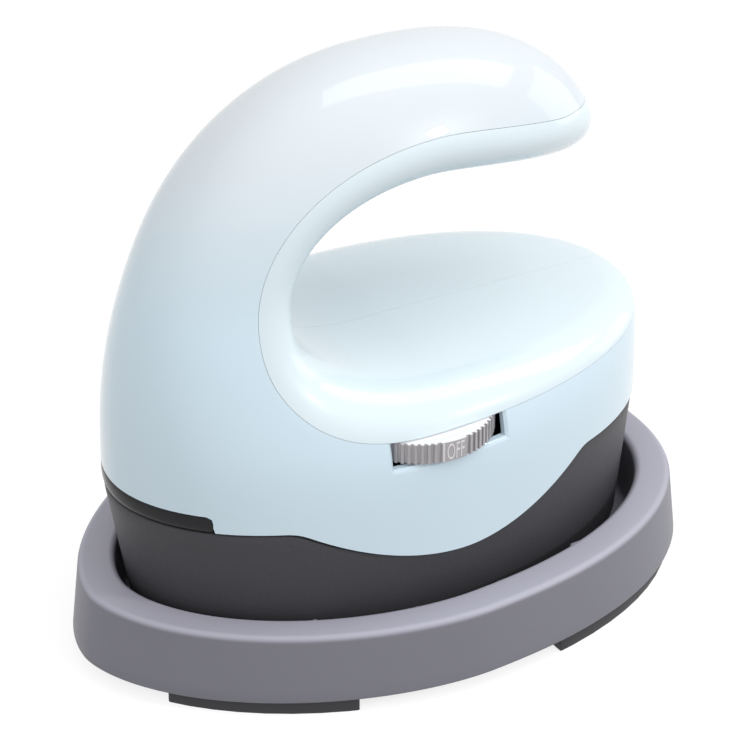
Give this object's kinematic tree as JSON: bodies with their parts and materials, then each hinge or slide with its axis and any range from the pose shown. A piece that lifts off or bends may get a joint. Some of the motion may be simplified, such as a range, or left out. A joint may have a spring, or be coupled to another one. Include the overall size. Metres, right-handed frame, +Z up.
{
  "type": "mini handheld heat press",
  "caption": "Small handheld heat press with a C-shaped handle, a thumb dial for the heat level and a heated plate, resting in a grey insulated tray.",
  "frame": {"origin": "centre of the footprint, on the surface under the feet", "axes": "+Z up, +X from the nose to the heel (the open end of the handle), -Y the side with the dial's open slot"},
  "size_m": [0.1536, 0.1072, 0.1369],
  "materials": {
    "shell_blue": "satin gloss, moulded",
    "cover_white": "satin gloss, moulded",
    "tray_grey": "fine matt, moulded",
    "charcoal_plastic": "matt, moulded",
    "foot_rubber": "matt",
    "pad_rubber": "matt silicone",
    "plate_aluminium": "die cast, coated face",
    "steel": "plain",
    "board_ceramic": "pressed fibre board",
    "board_green": "lacquered",
    "component_black": "moulded",
    "component_white": "moulded",
    "terminal_green": "moulded",
    "sink_aluminium": "extruded",
    "wire_brown": "sleeve",
    "wire_blue": "sleeve",
    "dial_charcoal": "satin, moulded"
  },
  "bodies": {
    "stand": {"stand_tray": "tray_grey", "foot_nose_near": "foot_rubber", "foot_nose_far": "foot_rubber", "foot_heel": "foot_rubber", "rest_pads": "pad_rubber"},
    "press": {"hot_plate": "plate_aluminium", "heating_tube": "steel", "tube_clamps": "steel", "clamp_screws": "steel", "thermal_fuse": "component_white", "thermistor": "steel", "insulation_board": "board_ceramic", "heat_shield": "sink_aluminium", "plate_screws": "steel", "skirt": "charcoal_plastic", "housing_screws": "steel", "outer_shell": "shell_blue", "cover_near": "cover_white", "cover_far": "cover_white", "nose_strip": "charcoal_plastic", "control_board": "board_green", "board_screws": "steel", "relay": "component_black", "capacitor": "component_black", "terminal_block": "terminal_green", "heat_sink": "sink_aluminium", "triac": "component_black", "dial_bracket": "charcoal_plastic", "bracket_screws": "steel", "potentiometer": "component_black", "cord_gland": "charcoal_plastic", "gland_nut": "charcoal_plastic", "cord_clamp": "charcoal_plastic", "cord_clamp_screws": "steel", "wire_live": "wire_brown", "wire_neutral": "wire_blue"},
    "dial": {"dial_wheel": "dial_charcoal", "dial_shaft": "steel"}
  },
  "joints": [
    {"name": "press_lift", "type": "slide", "parent": "stand", "child": "press", "axis": [0, 0, 1], "range_m": [0, 0.06]},
    {"name": "dial_turn", "type": "hinge", "parent": "press", "child": "dial", "pos_m": [-0.0049, -0.027, 0.0578], "axis": [0, 0, 1], "range_deg": [0, 270]}
  ]
}
